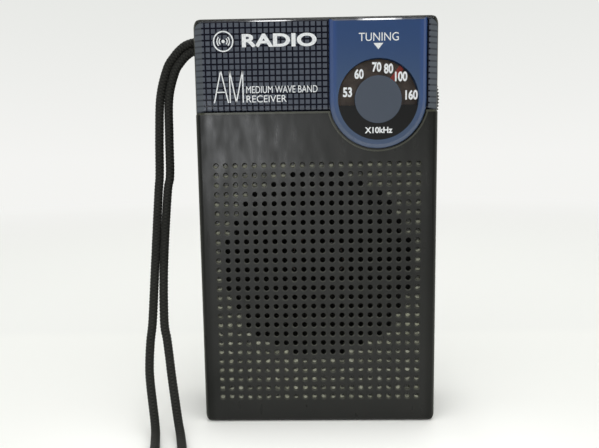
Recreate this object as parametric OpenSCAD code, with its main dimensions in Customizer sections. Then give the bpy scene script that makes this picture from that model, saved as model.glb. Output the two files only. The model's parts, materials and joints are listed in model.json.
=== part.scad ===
// Pocket transistor radio, medium wave, two AA cells, 57 mm speaker.
// Frame: origin at the centre of the base, +X to the right, +Y to the back, +Z up.
// The front faces -Y. Every size is in millimetres.

/* [Case] */
// Width of the case
body_w = 67.5; // [67:0.5:69]
// Height of the case
body_h = 115.5; // [115:0.5:118]
// Depth of the case
body_d = 28; // [28:0.5:30]
// Thickness of the case walls
wall = 2; // [1.8:0.1:2]
// Radius of the corners seen from the front
corner_r = 3; // [2.4:0.2:3.4]
// Radius of the long edges at the back and beside the panel
edge_r = 3; // [2.4:0.2:3.2]
// Radius of the front edges beside the speaker and at the foot
face_edge_r = 1.6; // [1.4:0.2:2]

/* [Grille] */
// Distance between grille holes
hole_pitch = 2.7; // [2.6:0.05:2.7]
// Radius of a grille hole
hole_r = 0.76; // [0.6:0.02:0.8]
// Holes across
hole_columns = 22; // [18:2:22]
// Holes down
hole_rows = 26; // [24:1:26]
// Height of the top row of holes above the base
top_row_z = 75.4; // [75:0.1:75.6]
// Depth of the blind dimples outside the speaker circle
dimple_depth = 0.62; // [0.4:0.02:0.7]
// Radius of a dimple's floor
dimple_floor_r = 0.46; // [0.3:0.02:0.5]

/* [Front panel and window] */
// Height of the lower edge of the patterned panel
panel_z = 90.1; // [90:0.1:90.4]
// Thickness of the patterned panel
panel_t = 1.6; // [1.4:0.1:1.6]
// Centre of the dial, across
dial_x = 17; // [16.8:0.1:17.2]
// Centre of the dial, above the base
dial_z = 93; // [92.8:0.1:93.2]
// Outer radius of the dial window
window_r = 13.3; // [13:0.1:13.4]
// How far the window stands in front of the panel
window_proud = 0.5; // [0.3:0.1:0.8]

/* [Controls] */
// Radius of the tuning wheel over its teeth
tuning_r = 17.4; // [17:0.1:17.6]
// Teeth on the tuning wheel
tuning_teeth = 120; // [90:10:120]
// Radius of the volume wheel over its teeth
volume_r = 9.4; // [9.2:0.1:9.6]
// Teeth on the volume wheel
volume_teeth = 60; // [40:5:70]

/* [Battery cover] */
// Half the width of the battery cover
cover_half_w = 27; // [26:0.5:27]
// Height of the top edge of the battery cover
cover_top = 36; // [35:0.5:37]

/* [Strap] */
// Diameter of the braided cord
cord_d = 2.4; // [2:0.1:2.4]
// Height of the strap pin above the base
pin_z = 109; // [108.8:0.1:109.1]

/* [Hidden] */
$fn = 48;
eps = 0.01;

half_w = body_w / 2;
half_d = body_d / 2;
front_y = -half_d;
back_y = half_d;
face_y = front_y + 0.4;          // the speaker face sits a little behind the panel
inner_front_y = front_y + 2.6;   // inside of the front wall
inner_back_y = back_y - wall;    // inside of the back wall
split_y = 0;                     // parting plane between the two case halves
groove = 0.3;                    // depth and width of the shadow line between the halves
tongue_h = 1.4;                  // tongue of the front half that enters the back half
tongue_t = 0.9;
rim = 0.5;                       // visible edge of the case round the panel
top_rim = 0.9;
top_edge_r = 2;
panel_back_y = front_y + panel_t;
panel_top = body_h - top_rim;
seat_gap = 0.05;
web_t = 0.4;                     // thin web of the panel that carries the window's upper part
dial_hole_r = window_r - 2;      // opening in the front wall over the dial
boss_end_y = -4.2;               // where the screw bosses of the two case halves meet

speaker_z = top_row_z - 10.5 * hole_pitch;
speaker_r = 28.5;
flange_y = inner_front_y + 0.4;  // front of the speaker flange, behind the gasket
flange_t = 0.8;
open_rings = 10;                 // holes closer than this many pitches to the speaker axis go through

board_front_y = -4.8;
board_back_y = -3.6;
wheel_front_y = -10.9;
wheel_t = 2.4;
dial_t = 0.3;
shaft_r = 3;
shaft_end_y = -9;
hub_end_y = -5.4;
tuning_screw_y = wheel_front_y + 1;
volume_x = half_w - 8.3;
volume_z = 73;
volume_half_t = 1.5;
spindle_r = 1.3;
jack_y = 6;
jack_z = 80.5;
jack_bore_r = 1.85;
rod_y_pos = 7;
rod_z_pos = 108;
rod_r = 4;

cell_r = 7;
cell_len = 49.2;
nub_len = 1.2;
cell_y = 4.6;
cell_low_z = 9.6;
cell_high_z = 23.9;
tray_half_w = 28.8;              // inside faces of the battery tray's side walls
tray_top_z = 31.4;
tray_front_y = -2.7;
contact_t = 0.4;

cord_r = cord_d / 2;
pin_x = -half_w + 3.3;
pin_y = front_y + 7;
pin_r = 0.9;
strap_pivot_x = -half_w - 1.4;
floor_z = cord_r + 0.3;

case_screw_at = [[-27, 71.5], [-2.5, 100.5]];
board_screw_at = [[-16, 100], [29, 60]];
lug_board_y = flange_y + 4.3;
speaker_screw_angles = [45, 135, 270];
speaker_screw_ring = 30.8;

// ---------------------------------------------------------------- helpers

// A flat outline in x and z, given depth between two y values.
module along_y(y0, y1) {
    translate([0, y1, 0]) rotate([90, 0, 0]) linear_extrude(y1 - y0) children();
}

// A flat outline in y and z, given length between two x values.
module along_x(x0, x1) {
    translate([x0, 0, 0]) rotate([90, 0, 90]) linear_extrude(x1 - x0) children();
}

// A round bar parallel to Y.
module bar_y(x, z, y0, y1, r, r_end = undef) {
    translate([x, y0, z]) rotate([-90, 0, 0])
        cylinder(h = y1 - y0, r1 = r, r2 = is_undef(r_end) ? r : r_end);
}

// A round bar parallel to X.
module bar_x(y, z, x0, x1, r) {
    translate([x0, y, z]) rotate([0, 90, 0]) cylinder(h = x1 - x0, r = r);
}

// A box between two corners.
module block(x0, x1, y0, y1, z0, z1) {
    translate([x0, y0, z0]) cube([x1 - x0, y1 - y0, z1 - z0]);
}

// A solid of revolution about the speaker axis, from [radius, y] points.
module turned(points) {
    translate([0, 0, speaker_z]) rotate([-90, 0, 0]) rotate_extrude($fn = 96) polygon(points);
}

// A plain ring about the speaker axis.
module ring(r0, r1, y0, y1) turned([[r0, y0], [r1, y0], [r1, y1], [r0, y1]]);

// A rectangle with a radius for its low corners and another for its high corners.
module rounded_rect(x0, x1, z0, z1, low_r, high_r) {
    polygon([[x0 + low_r, z0], [x1 - low_r, z0], [x1, z0 + low_r], [x1, z1 - high_r],
             [x1 - high_r, z1], [x0 + high_r, z1], [x0, z1 - high_r], [x0, z0 + low_r]]);
    for (x = [x0 + low_r, x1 - low_r]) translate([x, z0 + low_r]) circle(low_r);
    for (x = [x0 + high_r, x1 - high_r]) translate([x, z1 - high_r]) circle(high_r);
}

// A rectangle in side view with three radii: front foot, front top and both back corners.
module side_rect(y0, y1, z0, z1, front_low, front_high, back_r) {
    polygon([[y0 + front_low, z0], [y1 - back_r, z0], [y1, z0 + back_r], [y1, z1 - back_r],
             [y1 - back_r, z1], [y0 + front_high, z1], [y0, z1 - front_high], [y0, z0 + front_low]]);
    translate([y0 + front_low, z0 + front_low]) circle(front_low);
    translate([y0 + front_high, z1 - front_high]) circle(front_high);
    for (z = [z0 + back_r, z1 - back_r]) translate([y1 - back_r, z]) circle(back_r);
}

// The outer form of the case, or its hollow when it is set inwards.
module case_form(y0, y1, inset, base = undef, front_r = edge_r) {
    z0 = is_undef(base) ? inset : base;
    z1 = body_h - inset;
    x = half_w - inset;
    corner = corner_r - inset * 0.9;
    front = front_r - inset * 0.9;
    back = edge_r - inset * 0.9;
    top = max(top_edge_r - inset * 0.3, 0.4);
    intersection() {
        along_y(y0, y1) rounded_rect(-x, x, z0, z1, corner, corner);
        linear_extrude(body_h) rounded_rect(-x, x, y0, y1, front, back);
        along_x(-half_w, half_w) side_rect(y0, y1, z0, z1, front, top, back);
    }
}

// A knurled wheel outline: straight-sided teeth round a circle.
module knurled(radius, teeth, depth) {
    step = 360 / teeth;
    polygon([for (i = [0 : teeth - 1]) for (corner = [[0, 0], [0.5, depth]])
        let (a = (i + corner[0]) * step, r = radius - corner[1]) r * [cos(a), sin(a)]]);
}

// The window outline: straight sides and top, with a half round foot.
module window_outline(grow, top) {
    r = window_r + grow;
    window_foot(grow);
    translate([dial_x - r, dial_z]) square([2 * r, top - dial_z]);
}
module window_foot(grow) translate([dial_x, dial_z]) circle(window_r + grow);

function unit(v) = v / norm(v);

// A smooth curve through a list of points, with a number of steps between each pair.
function curve_point(a, b, c, d, t) =
    0.5 * ((2 * b) + (c - a) * t + (2 * a - 5 * b + 4 * c - d) * t * t
           + (3 * b - a - 3 * c + d) * t * t * t);
function curve(points, steps) = let (last = len(points) - 1) concat(
    [for (i = [0 : last - 1]) for (s = [0 : steps - 1])
        curve_point(points[max(i - 1, 0)], points[i], points[i + 1],
                    points[min(i + 2, last)], s / steps)],
    [points[last]]);

// A round tube along a path. The reference direction is never parallel to the path.
module swept(path, radius, sides, reference) {
    last = len(path) - 1;
    points = [for (i = [0 : last])
        let (t = unit(path[min(i + 1, last)] - path[max(i - 1, 0)]),
             u = unit(cross(t, reference)), v = cross(t, u))
        for (k = [0 : sides - 1]) let (a = 360 * k / sides)
            path[i] + radius * (cos(a) * u + sin(a) * v)];
    walls = [for (i = [0 : last - 1]) for (k = [0 : sides - 1])
        let (n = (k + 1) % sides, a = i * sides, b = a + sides)
            for (f = [[a + k, a + n, b + n], [a + k, b + n, b + k]]) f];
    ends = [[for (k = [sides - 1 : -1 : 0]) k], [for (k = [0 : sides - 1]) last * sides + k]];
    polyhedron(points = points, faces = concat(walls, ends));
}

// ---------------------------------------------------------------- case

function hole_x(column) = (column - (hole_columns - 1) / 2) * hole_pitch;
function hole_z(row) = top_row_z - row * hole_pitch;
function is_open(column, row) =
    norm([hole_x(column), hole_z(row) - speaker_z]) < open_rings * hole_pitch + eps;

// Open holes over the speaker, and blind tapered dimples round them.
module grille_holes() {
    slope = (hole_r - dimple_floor_r) / dimple_depth;
    for (column = [0 : hole_columns - 1]) for (row = [0 : hole_rows - 1])
        if (is_open(column, row))
            bar_y(hole_x(column), hole_z(row), face_y - 1, inner_front_y + 1, hole_r);
        else
            bar_y(hole_x(column), hole_z(row), face_y - 0.2, face_y + dimple_depth,
                  hole_r + 0.2 * slope, dimple_floor_r);
}

module front_outer() {
    intersection() {                                             // speaker face, a little lower
        case_form(face_y, back_y, 0.05, 0, face_edge_r);
        block(-half_w, half_w, front_y, back_y, 0, panel_z - rim);
    }
    intersection() {                                             // frame of the panel
        case_form(front_y, back_y, 0);
        block(-half_w, half_w, front_y, back_y, panel_z - rim, body_h);
    }
    along_y(front_y, face_y + 1) window_outline(0.8, panel_z);   // rim round the window's foot
}

function speaker_screw_at(a) = [speaker_screw_ring * cos(a), speaker_z + speaker_screw_ring * sin(a)];

// Screw posts on the front wall: [x, z, end of the post, post radius, pilot radius, end of the pilot hole].
front_posts = concat(
    [for (a = speaker_screw_angles)
        concat(speaker_screw_at(a), [flange_y + flange_t, 2, 0.9, inner_front_y - 1])],
    [for (p = case_screw_at) concat(p, [boss_end_y, 2.6, 1.1, inner_front_y + 1])],
    [for (p = board_screw_at) concat(p, [board_front_y, 1.9, 0.8, inner_front_y + 1])]);

module strap_ribs() {
    for (y = [[inner_front_y - 0.5, pin_y - 2], [pin_y + 1.8, pin_y + 3.2]])
        block(-half_w + 1, pin_x + 1.9, y[0], y[1], pin_z - 3.8, body_h - 1);
}

module front_cabinet() color("dimgray") difference() {
    union() {
        difference() {
            intersection() {
                front_outer();
                block(-half_w, half_w, front_y, split_y, 0, body_h);
            }
            case_form(inner_front_y, back_y, wall);
        }
        difference() {                                           // tongue
            intersection() {
                case_form(inner_front_y, back_y, wall - tongue_t);
                block(-half_w, half_w, split_y - 1, split_y + tongue_h, 0, body_h);
            }
            case_form(inner_front_y, back_y, wall);
        }
        ring(speaker_r + 0.3, speaker_r + 1.3, inner_front_y - 0.5, flange_y + flange_t);
        for (p = front_posts) bar_y(p[0], p[1], inner_front_y - 0.5, p[2], p[3]);
        strap_ribs();
    }
    for (p = front_posts) bar_y(p[0], p[1], p[5], p[2] + 1, p[4]);
    // seat of the patterned panel
    along_y(front_y - 1, panel_back_y)
        rounded_rect(-half_w + rim - seat_gap, half_w - rim + seat_gap,
                     panel_z - seat_gap, panel_top + seat_gap, 0.3, corner_r - rim);
    // seat of the window, and the opening over the dial
    along_y(front_y - 1, panel_back_y) window_outline(0.3, panel_top);
    bar_y(dial_x, dial_z, front_y, inner_front_y + 1, dial_hole_r);
    // slot and thumb scoop for the tuning wheel
    block(half_w - wall - 1, half_w + 1, wheel_front_y - 0.4, wheel_front_y + wheel_t + 0.6,
          dial_z - 12, dial_z + 12);
    bar_y(half_w + 61, dial_z, wheel_front_y - 0.4, split_y - 3, 62);
    volume_slot();
    // slot for the strap, and the holes for its pin
    block(-half_w - 1, -half_w + wall + 0.6, pin_y - 1.6, pin_y + 1.6, pin_z - 3.7, pin_z + 3.7);
    bar_y(pin_x, pin_z, pin_y - 3.1, pin_y + 3.3, pin_r + 0.02);
    // catches for the back half's hooks
    for (x = [-20, 20]) block(x - 3.2, x + 3.2, -3.2, -1.4, 1.1, 3);
    grille_holes();
}

// Slot for the volume wheel, half in each case part.
module volume_slot()
    block(half_w - wall - 1.2, half_w + 1, -volume_half_t - 0.4, volume_half_t + 0.4,
          volume_z - 7.6, volume_z + 7.6);

module battery_tray() {
    t = 0.8;
    x = tray_half_w;
    end_y = inner_back_y + 0.5;
    foot_z = wall + 0.1;
    // front, top and side walls of the battery space
    block(-x - 1, x + 1, tray_front_y - t, tray_front_y, foot_z, tray_top_z + t);
    block(-x - 1, x + 1, tray_front_y - t, end_y, tray_top_z, tray_top_z + t);
    // side walls, and the thicker wall that holds the cover's groove
    for (s = [0, 1]) mirror([s, 0, 0]) {
        block(x, x + 1, tray_front_y - t, end_y, foot_z, tray_top_z + t);
        block(cover_half_w + 0.3, x + 1.7, inner_back_y - 1.1, end_y, wall - 0.5, cover_top);
    }
    // shelf behind the cover's upper edge
    block(-x, x, inner_back_y - 1.1, end_y, tray_top_z, cover_top + 2.6);
}

// Lugs at the foot of the back half that hook under the front half's floor.
module back_hooks() for (x = [-20, 20]) {
    block(x - 3, x + 3, -3, -1.6, 1.2, wall + 0.1);
    block(x - 3, x + 3, -3, 3, wall + 0.05, wall + 0.7);
    block(x - 3, x + 3, tongue_h + 0.3, 3, wall - 0.5, wall + 0.7);
}

// Shallow shadow line round the sides and top where the case halves meet.
module parting_groove() difference() {
    block(-half_w - 1, half_w + 1, split_y - 1, split_y + groove, corner_r, body_h + 1);
    case_form(front_y, back_y, groove);
}

module back_cabinet() color("dimgray") difference() {
    union() {
        difference() {
            intersection() {
                case_form(face_y, back_y, 0);
                block(-half_w, half_w, split_y, back_y, 0, body_h);
            }
            case_form(front_y, inner_back_y, wall);
            intersection() {                                     // groove for the tongue
                case_form(front_y, back_y, wall - tongue_t - 0.1);
                block(-half_w, half_w, split_y - 1, split_y + tongue_h + 0.1, 0, body_h);
            }
        }
        for (p = case_screw_at) bar_y(p[0], p[1], boss_end_y, inner_back_y + 0.5, 3.4);
        battery_tray();
        back_hooks();
    }
    parting_groove();
    for (p = case_screw_at) {                                    // screw holes with sunk heads
        bar_y(p[0], p[1], -5, back_y, 1.35);
        bar_y(p[0], p[1], inner_back_y - 1, back_y + 1, 2.4);
    }
    // opening and side grooves of the battery cover
    block(-cover_half_w - 0.2, cover_half_w + 0.2, inner_back_y - 1, back_y + 1, 2, tray_top_z);
    block(-cover_half_w - 0.2, cover_half_w + 0.2, inner_back_y + 0.3, back_y + 1, -1, cover_top + 0.2);
    block(-cover_half_w - 0.2, cover_half_w + 0.2, back_y - 3.9, back_y + 1, -1, 2.2);
    block(-cover_half_w - 1.7, cover_half_w + 1.7, inner_back_y + 0.3, back_y - 0.65, -1, cover_top - 0.6);
    block(-5.3, 5.3, inner_back_y + 0.3, back_y - 0.8, cover_top, cover_top + 1.6);   // catch pocket
    // slots for the battery contacts' tabs
    for (p = [[1, cell_low_z], [1, cell_high_z], [-1, cell_low_z]])
        block(p[0] > 0 ? tray_half_w - 1 : -tray_half_w - 2, p[0] > 0 ? tray_half_w + 2 : -tray_half_w + 1,
              cell_y - 1.2, cell_y + 1.2, p[1] - 0.3, p[1] + 0.3);
    volume_slot();
    bar_x(jack_y, jack_z, -half_w - 1, -half_w + 6, 3.5);        // earphone socket
    block(-22, 22, back_y - 0.3, back_y + 1, 76, 94);            // seat of the rating label
    for (i = [0 : 5])                                            // sound slots behind the speaker
        block(-12, 12, inner_back_y - 1, back_y + 1, 44 + i * 3.2, 45 + i * 3.2);
}

module front_panel() {
    side = 2.2;   // width of the sloping side edges
    depth = 1.2;
    x = half_w - rim;
    color("slategray") difference() {
        intersection() {
            along_y(front_y, panel_back_y)
                rounded_rect(-x, x, panel_z, panel_top, 0.3, corner_r - rim);
            linear_extrude(body_h) polygon([[-x, panel_back_y], [-x, front_y + depth], [-x + side, front_y],
                                            [x - side, front_y], [x, front_y + depth], [x, panel_back_y]]);
            along_x(-x, x)
                polygon([[panel_back_y, panel_z], [front_y + 0.7, panel_z], [front_y, panel_z + 0.8],
                         [front_y, panel_top - 0.35], [front_y + 0.35, panel_top],
                         [panel_back_y, panel_top]]);
        }
        along_y(front_y - 1, panel_back_y - web_t) window_outline(0.15, body_h);
        along_y(front_y - 1, panel_back_y + 1) window_foot(0.15);
    }
}

module tuning_window() {
    y0 = front_y - window_proud;
    r = window_r;
    bevel = 1.1;
    drop = 0.8;
    top = panel_top - 0.1;
    top_bevel = 0.5;
    top_drop = 0.4;
    color("steelblue") intersection() {
        union() {
            bar_y(dial_x, dial_z, y0, y0 + drop, r - bevel, r);
            bar_y(dial_x, dial_z, y0 + drop, panel_back_y, r);
            translate([dial_x, 0, dial_z]) linear_extrude(top - dial_z)
                polygon([[-r, panel_back_y - web_t], [-r, y0 + drop], [-r + bevel, y0],
                         [r - bevel, y0], [r, y0 + drop], [r, panel_back_y - web_t]]);
        }
        along_x(-half_w, half_w)
            polygon([[panel_back_y, 0], [y0, 0], [y0, top - top_bevel], [y0 + top_drop, top],
                     [panel_back_y, top]]);
    }
}

module battery_cover() {
    color("dimgray") difference() {
        union() {
            intersection() {
                case_form(face_y, back_y, 0);
                union() {
                    block(-cover_half_w, cover_half_w, inner_back_y + 0.4, back_y, 0.3, cover_top);
                    block(-cover_half_w, cover_half_w, back_y - 3.8, back_y, 0.3, 2);
                }
            }
            // side tongues and top catch
            block(-cover_half_w - 1.4, cover_half_w + 1.4, inner_back_y + 0.4, back_y - 0.8,
                  4, cover_top - 1);
            block(-5, 5, inner_back_y + 0.4, back_y - 1, cover_top - 1, cover_top + 1.3);
        }
        for (i = [0 : 4])                                        // thumb grip
            block(-9, 9, back_y - 0.5, back_y + 1, 24 + i * 1.7, 24.8 + i * 1.7);
        along_y(back_y - 0.4, back_y + 1) polygon([[-4, 21.5], [4, 21.5], [0, 17]]);
    }
}

// ---------------------------------------------------------------- tuning

module tuning_wheel() color("darkslategray") difference() {
    union() {
        translate([dial_x, wheel_front_y + wheel_t, dial_z]) rotate([90, 0, 0])
            linear_extrude(wheel_t) knurled(tuning_r, tuning_teeth, 0.45);
        bar_y(dial_x, dial_z, wheel_front_y + 1, hub_end_y, 5);
    }
    bar_y(dial_x, dial_z, shaft_end_y - 0.1, hub_end_y + 1, shaft_r + 0.02);     // seat of the shaft
    bar_y(dial_x, dial_z, wheel_front_y - 1, tuning_screw_y, 3.2);
    bar_y(dial_x, dial_z, wheel_front_y, -8, 1.35);
}

// Printed frequency disc, glued to the front of the tuning wheel.
module dial_disc() color("black") along_y(wheel_front_y - dial_t, wheel_front_y)
    translate([dial_x, dial_z]) difference() {
        circle(12.2);
        circle(5);
    }

module tuning_shaft() color("silver") difference() {
    bar_y(dial_x, dial_z, shaft_end_y, 6.4, shaft_r);
    bar_y(dial_x, dial_z, -10, -3.2, 1.1);
}

module tuning_wheel_screw() color("silver") screw(dial_x, dial_z, tuning_screw_y, -1, 2.6, 1.05, 5.6);

// A cross-head screw whose head faces -Y (way = -1) or +Y (way = 1). y is the head's seat.
module screw(x, z, y, way, head_r, shank_r, length) {
    head_t = 0.9;
    translate([x, y, z]) rotate([way > 0 ? -90 : 90, 0, 0]) difference() {
        union() {
            cylinder(h = head_t, r = head_r);
            translate([0, 0, -length]) cylinder(h = length, r = shank_r);
        }
        for (a = [0, 90]) rotate(a)
            translate([-head_r * 0.65, -0.25, head_t - 0.55]) cube([head_r * 1.3, 0.5, 1]);
    }
}

vane_t = 0.3;
vane_pitch = 1.4;
vane_first_y = -1.6;
low_end_turn = 126;              // turn of the wheel from where it rests to the low end of the dial

// Half-round moving plates on the shaft, in full mesh at the low end of the dial.
module rotor_vanes() color("gold") for (i = [0 : 4]) {
    y = vane_first_y + i * vane_pitch;
    translate([dial_x, 0, dial_z]) rotate([0, 90 + low_end_turn, 0]) along_y(y, y + vane_t) difference() {
        circle(8);
        translate([-9, -9]) square([9, 18]);
        circle(shaft_r + 0.02);
    }
}

// Fixed plates between the moving ones, held by the case.
module stator_vanes() color("gold") for (i = [0 : 3]) {
    y = vane_first_y + (i + 0.5) * vane_pitch;
    along_y(y, y + vane_t) difference() {
        translate([dial_x - 9.15, dial_z - 9.15]) square([18.3, 8.8]);
        translate([dial_x, dial_z]) circle(3.6);
    }
}

module tuning_capacitor() color("ivory") difference() {
    block(dial_x - 10, dial_x + 10, board_back_y, 8, dial_z - 10, dial_z + 10);
    block(dial_x - 9.2, dial_x + 9.2, board_back_y + 0.8, 7.2, dial_z - 9.2, dial_z + 9.2);
    bar_y(dial_x, dial_z, -6, 0, shaft_r + 0.08);
    for (p = trimmer_at) bar_y(dial_x + p[0], dial_z + p[1], 6, 9, 1.5);
}

trimmer_at = [[-6.5, -6.5], [6.5, 6.5]];
module trimmer_screws() color("silver") for (p = trimmer_at)
    difference() {
        bar_y(dial_x + p[0], dial_z + p[1], 6.6, 8.2, 1.45);
        block(dial_x + p[0] - 1.2, dial_x + p[0] + 1.2, 7.8, 9, dial_z + p[1] - 0.2, dial_z + p[1] + 0.2);
    }

// ---------------------------------------------------------------- volume

module volume_wheel() color("darkslategray") difference() {
    union() {
        translate([volume_x, volume_half_t, volume_z]) rotate([90, 0, 0])
            linear_extrude(2 * volume_half_t) knurled(volume_r, volume_teeth, 0.45);
        bar_y(volume_x, volume_z, -3.3, 0, spindle_r);
    }
    bar_y(volume_x, volume_z, volume_half_t - 1, volume_half_t + 1, 3.2);
    bar_y(volume_x, volume_z, -4, 3, 0.65);
}

module volume_wheel_screw() color("silver") screw(volume_x, volume_z, volume_half_t - 1, 1, 2.6, 0.6, 3.2);

module volume_control() color("saddlebrown") difference() {
    union() {
        bar_y(volume_x, volume_z, board_back_y, -volume_half_t - 0.2, 6.2);
        block(volume_x - 6.8, volume_x - 3, board_back_y, -volume_half_t - 0.2,
              volume_z - 3.4, volume_z + 3.4);
    }
    bar_y(volume_x, volume_z, -3.4, 0, spindle_r + 0.08);
}

// ---------------------------------------------------------------- board

module circuit_board() color("peru") difference() {
    along_y(board_front_y, board_back_y) difference() {
        translate([-30.5, 58]) square([61, 46.5]);
        translate([0, speaker_z]) circle(20);
        translate([-40, 40]) square([26, 22]);
        translate([14, 40]) square([11, 22]);
    }
    bar_y(dial_x, dial_z, -6, -3, 5.4);
    for (p = case_screw_at) bar_y(p[0], p[1], -6, -3, 3.8);
    for (p = board_screw_at) bar_y(p[0], p[1], -6, -3, 1.2);
}

module board_screws() color("silver") for (p = board_screw_at)
    screw(p[0], p[1], board_back_y, 1, 1.9, 0.75, 5);

module case_screws() color("silver") for (p = case_screw_at)
    screw(p[0], p[1], inner_back_y - 1, 1, 2.2, 1.05, 19);

module ferrite_rod() color("black") bar_x(rod_y_pos, rod_z_pos, -26, 29.6, rod_r);

module antenna_coil() color("sandybrown") difference() {
    union() {
        bar_x(rod_y_pos, rod_z_pos, -22.6, -7.4, rod_r + 0.45);
        for (i = [0 : 17]) bar_x(rod_y_pos, rod_z_pos, -22 + i * 0.8, -21.45 + i * 0.8, rod_r + 0.8);
    }
    bar_x(rod_y_pos, rod_z_pos, -24, -6, rod_r + 0.05);
}

module rod_holders() color("ivory") for (x = [-25.6, 27.6]) difference() {
    block(x, x + 2, board_back_y, 11.3, rod_z_pos - 5.8, rod_z_pos + 4.1);
    bar_x(rod_y_pos, rod_z_pos, x - 1, x + 3, rod_r + 0.02);
    block(x - 1, x + 3, 1.4, 12, rod_z_pos - 7, rod_z_pos - 5);
}

can_at = [[2.6, 86], [-9, 90], [-18, 90], [-26.3, 90]];
module if_transformers() color("silver") for (p = can_at) difference() {
    block(p[0] - 3.6, p[0] + 3.6, board_back_y, 6.4, p[1] - 3.6, p[1] + 3.6);
    bar_y(p[0], p[1], 3, 7, 2);
}
module if_cores() color("gold") for (p = can_at) difference() {
    bar_y(p[0], p[1], 3, 6.1, 1.95);
    block(p[0] - 1.6, p[0] + 1.6, 5.3, 7, p[1] - 0.3, p[1] + 0.3);
}

transistor_at = [[-24, 99], [-9, 99.5], [-12, 78.6], [-6, 78.6], [3.6, 78.6], [10.5, 80.2]];
module transistors() color("black") for (p = transistor_at) difference() {
    bar_y(p[0], p[1], board_back_y, 1.6, 2.3);
    block(p[0] - 3, p[0] + 3, board_back_y - 1, 3, p[1] - 3, p[1] - 1.3);
}

module audio_transformers() color("goldenrod") for (p = [[-14.5, 70.5], [10.6, 71.5]]) {
    block(p[0] - 4.5, p[0] + 4.5, board_back_y, 2.6, p[1] - 4.5, p[1] + 4.5);
    block(p[0] - 2.6, p[0] + 2.6, 2.6, 3.8, p[1] - 3.5, p[1] + 3.5);
}

module electrolytic_capacitors() color("navy")
    for (p = [[-2.2, 71.5, 2.4, 8], [3.6, 71.5, 2.4, 8], [29, 97, 1.4, 6], [29, 92.5, 1.4, 6]])
        bar_y(p[0], p[1], board_back_y, board_back_y + p[3], p[2]);

module ceramic_capacitors() color("orange") for (x = [-21, -12.8, -5.4, 1.6])
    bar_x(board_back_y + 1.75, 95.4, x - 0.6, x + 0.6, 1.65);

module resistors() color("tan") for (i = [0 : 4]) translate([-17 + i * 3.3, 0, 0]) {
    translate([0, board_back_y + 1, 81.3]) cylinder(h = 4.4, r = 0.95);
}

module earphone_jack() color("black") difference() {
    union() {
        bar_x(jack_y, jack_z, -half_w + 0.2, -half_w + 3, 3.4);
        block(-half_w + 2.5, -20, jack_y - 4, jack_y + 4, jack_z - 3.8, jack_z + 3.8);
    }
    bar_x(jack_y, jack_z, -half_w - 1, -21.2, jack_bore_r);
}

// Solder lugs that stand out of the socket's back and side.
module jack_contacts() color("silver") {
    block(-20, -17, jack_y - 1.2, jack_y + 1.2, jack_z - 0.2, jack_z + 0.2);
    for (x = [-28, -24]) block(x - 1, x + 1, jack_y - 6.5, jack_y - 4, jack_z - 0.2, jack_z + 0.2);
}

// ---------------------------------------------------------------- speaker

// Pressed basket with four openings and a step that carries the lug board.
module speaker_frame() color("silver") {
    y = flange_y;
    difference() {
        turned([[25.2, y], [speaker_r, y], [speaker_r, y + flange_t], [26.8, y + flange_t], [26, y + 2.5],
                [14.8, y + 7.1], [8.4, y + 7.1], [8.4, y + 6.4], [14.4, y + 6.4], [25.2, y + 1.9]]);
        for (a = [45 : 90 : 315]) translate([0, 0, speaker_z]) rotate([0, a, 0])
            block(17, 24.4, y + 2.2, y + 6.4, -6, 6);
    }
    block(-25, -22.4, y + 3, lug_board_y, speaker_z - 2.6, speaker_z + 2.6);
}

module speaker_gasket() color("black")
    ring(25.6, 28.2, inner_front_y, flange_y);

module speaker_surround() color("dimgray")
    ring(24.9, 25.2, flange_y + 0.2, flange_y + 1.2);

module speaker_cone() color("black")
    turned([[7.72, -5.9], [24.4, -10.2], [24.7, -10.2], [24.7, -9.9], [24.4, -9.8], [7.72, -5.4]]);

module voice_coil() color("peru")
    ring(7.3, 7.7, -5.9, -2);

module dust_cap() color("black") translate([0, -5.95, speaker_z]) rotate([90, 0, 0]) rotate_extrude($fn = 64)
    intersection() {
        difference() {
            translate([0, -9.6]) circle(12.2);
            translate([0, -9.6]) circle(11.9);
        }
        translate([0, 0.1]) square([20, 10]);
    }

module speaker_top_plate() color("silver")
    ring(8, 14.4, -3.9, -2.5);
module speaker_magnet() color("dimgray")
    ring(9, 14, -2.5, 1.8);
module speaker_yoke() color("silver")
    turned([[0, -3.9], [6.8, -3.9], [6.8, 1.8], [14.4, 1.8], [14.4, 3.2], [0, 3.2]]);

// Lug board on the frame's step, with its two solder lugs.
module speaker_terminals() color("peru") {
    block(-26.6, -22.2, lug_board_y, lug_board_y + 0.8, speaker_z - 3.6, speaker_z + 3.6);
    for (z = [-2.5, 1.3])
        block(-25.6, -23.2, lug_board_y + 0.7, lug_board_y + 1.2, speaker_z + z, speaker_z + z + 1.2);
}

module speaker_screws() color("silver") for (a = speaker_screw_angles)
    screw(speaker_screw_at(a)[0], speaker_screw_at(a)[1], flange_y + flange_t, 1, 2.7, 0.85, 2);

// ---------------------------------------------------------------- battery

// One AA cell. way = 1 puts its positive cap at the +X end.
module cell(z, way) {
    end_x = tray_half_w - contact_t;
    x = [way * end_x, way * (end_x - nub_len), way * (end_x - nub_len - cell_len)];
    bar_x(cell_y, z, min(x[0], x[1]), max(x[0], x[1]), 2.7);
    bar_x(cell_y, z, min(x[1], x[2]), max(x[1], x[2]), cell_r);
}
module battery_cells() color("darkorange") {
    cell(cell_low_z, 1);
    cell(cell_high_z, -1);
}

spring_wire = 0.35;
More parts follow.
